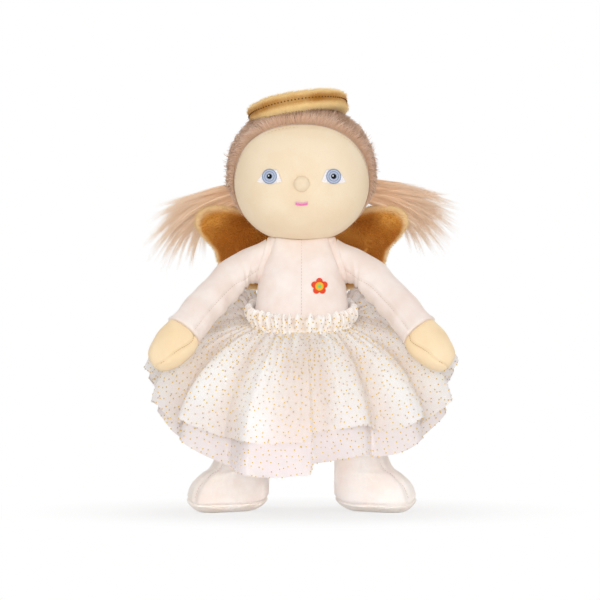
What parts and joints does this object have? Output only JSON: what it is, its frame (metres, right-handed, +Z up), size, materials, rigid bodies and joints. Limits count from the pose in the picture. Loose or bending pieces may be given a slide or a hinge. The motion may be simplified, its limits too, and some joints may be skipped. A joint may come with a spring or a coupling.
{
  "type": "soft doll",
  "caption": "Standing soft angel doll with fur hair in two pigtails, a padded halo, plush wings, a velour body with mitten hands and boots, and a two-layer tulle skirt with glitter dots.",
  "frame": {"origin": "on the floor below the middle of the doll's bounding box", "axes": "+Z up, the doll faces -Y and its left hand is at +X"},
  "size_m": [0.206, 0.1448, 0.2725],
  "materials": {
    "skin_velour": "soft short-pile velour",
    "body_velour": "soft short-pile velour",
    "hand_felt": "brushed knit",
    "hair_fur": "short curly pile",
    "tail_fur": "long straight pile",
    "gold_plush": "short glossy plush",
    "halo_plush": "short glossy plush",
    "white_tulle": "fine net with glitter dots",
    "fibrefill": "loose polyester fibre",
    "elastic_web": "woven elastic",
    "eye_thread": "satin stitch",
    "lip_thread": "satin stitch",
    "motif_thread": "satin stitch"
  },
  "bodies": {
    "trunk": {"torso_front_left": "body_velour", "torso_front_right": "body_velour", "torso_back": "body_velour", "torso_filling": "fibrefill", "chest_embroidery": "motif_thread", "waistband": "white_tulle", "waist_elastic": "elastic_web", "skirt_under_layer": "white_tulle", "skirt_outer_layer": "white_tulle"},
    "head": {"face_panel": "skin_velour", "hair_cap": "hair_fur", "head_filling": "fibrefill", "nose": "skin_velour", "left_eye": "eye_thread", "right_eye": "eye_thread", "mouth": "lip_thread", "halo_cover": "halo_plush", "halo_filling": "fibrefill"},
    "left_tail_body": {"left_pigtail": "tail_fur"},
    "left_arm_body": {"left_sleeve": "body_velour", "left_hand": "hand_felt", "left_arm_filling": "fibrefill"},
    "left_leg_body": {"left_leg": "body_velour", "left_sole": "body_velour", "left_leg_filling": "fibrefill"},
    "left_wing_body": {"left_wing_front": "gold_plush", "left_wing_back": "gold_plush", "left_wing_filling": "fibrefill"},
    "right_tail_body": {"right_pigtail": "tail_fur"},
    "right_arm_body": {"right_sleeve": "body_velour", "right_hand": "hand_felt", "right_arm_filling": "fibrefill"},
    "right_leg_body": {"right_leg": "body_velour", "right_sole": "body_velour", "right_leg_filling": "fibrefill"},
    "right_wing_body": {"right_wing_front": "gold_plush", "right_wing_back": "gold_plush", "right_wing_filling": "fibrefill"}
  },
  "joints": [
    {"name": "head_turn", "type": "hinge", "parent": "trunk", "child": "head", "pos_m": [0, 0, 0.178], "axis": [0, 0, 1], "range_deg": [-25, 25], "deforming": ["left_pigtail", "right_pigtail"]},
    {"name": "left_pigtail_swing", "type": "hinge", "parent": "head", "child": "left_tail_body", "pos_m": [0.04251, 0.03002, 0.2074], "axis": [0, -1, 0], "range_deg": [-35, 30], "stiffness_Nm_per_rad": 0.02},
    {"name": "left_shoulder", "type": "hinge", "parent": "trunk", "child": "left_arm_body", "pos_m": [0.0255, 0, 0.162], "axis": [-0.9613, 0, -0.2756], "range_deg": [0, 75]},
    {"name": "left_hip", "type": "hinge", "parent": "trunk", "child": "left_leg_body", "pos_m": [0.018, 0, 0.096], "axis": [-1, 0, 0], "range_deg": [-30, 90], "deforming": ["skirt_under_layer", "skirt_outer_layer"]},
    {"name": "left_wing_flap", "type": "hinge", "parent": "trunk", "child": "left_wing_body", "pos_m": [0.0085, 0.02388, 0.162], "axis": [0, -0.1045, 0.9945], "range_deg": [0, 25], "deforming": ["left_pigtail", "right_pigtail"]},
    {"name": "right_pigtail_swing", "type": "hinge", "parent": "head", "child": "right_tail_body", "pos_m": [-0.04251, 0.03002, 0.2074], "axis": [0, 1, 0], "range_deg": [-35, 30], "stiffness_Nm_per_rad": 0.02},
    {"name": "right_shoulder", "type": "hinge", "parent": "trunk", "child": "right_arm_body", "pos_m": [-0.0255, 0, 0.162], "axis": [-0.9613, 0, 0.2756], "range_deg": [0, 75]},
    {"name": "right_hip", "type": "hinge", "parent": "trunk", "child": "right_leg_body", "pos_m": [-0.018, 0, 0.096], "axis": [-1, 0, 0], "range_deg": [-30, 90], "deforming": ["skirt_under_layer", "skirt_outer_layer"]},
    {"name": "right_wing_flap", "type": "hinge", "parent": "trunk", "child": "right_wing_body", "pos_m": [-0.0085, 0.02388, 0.162], "axis": [0, 0.1045, -0.9945], "range_deg": [0, 25], "deforming": ["left_pigtail", "right_pigtail"]}
  ]
}
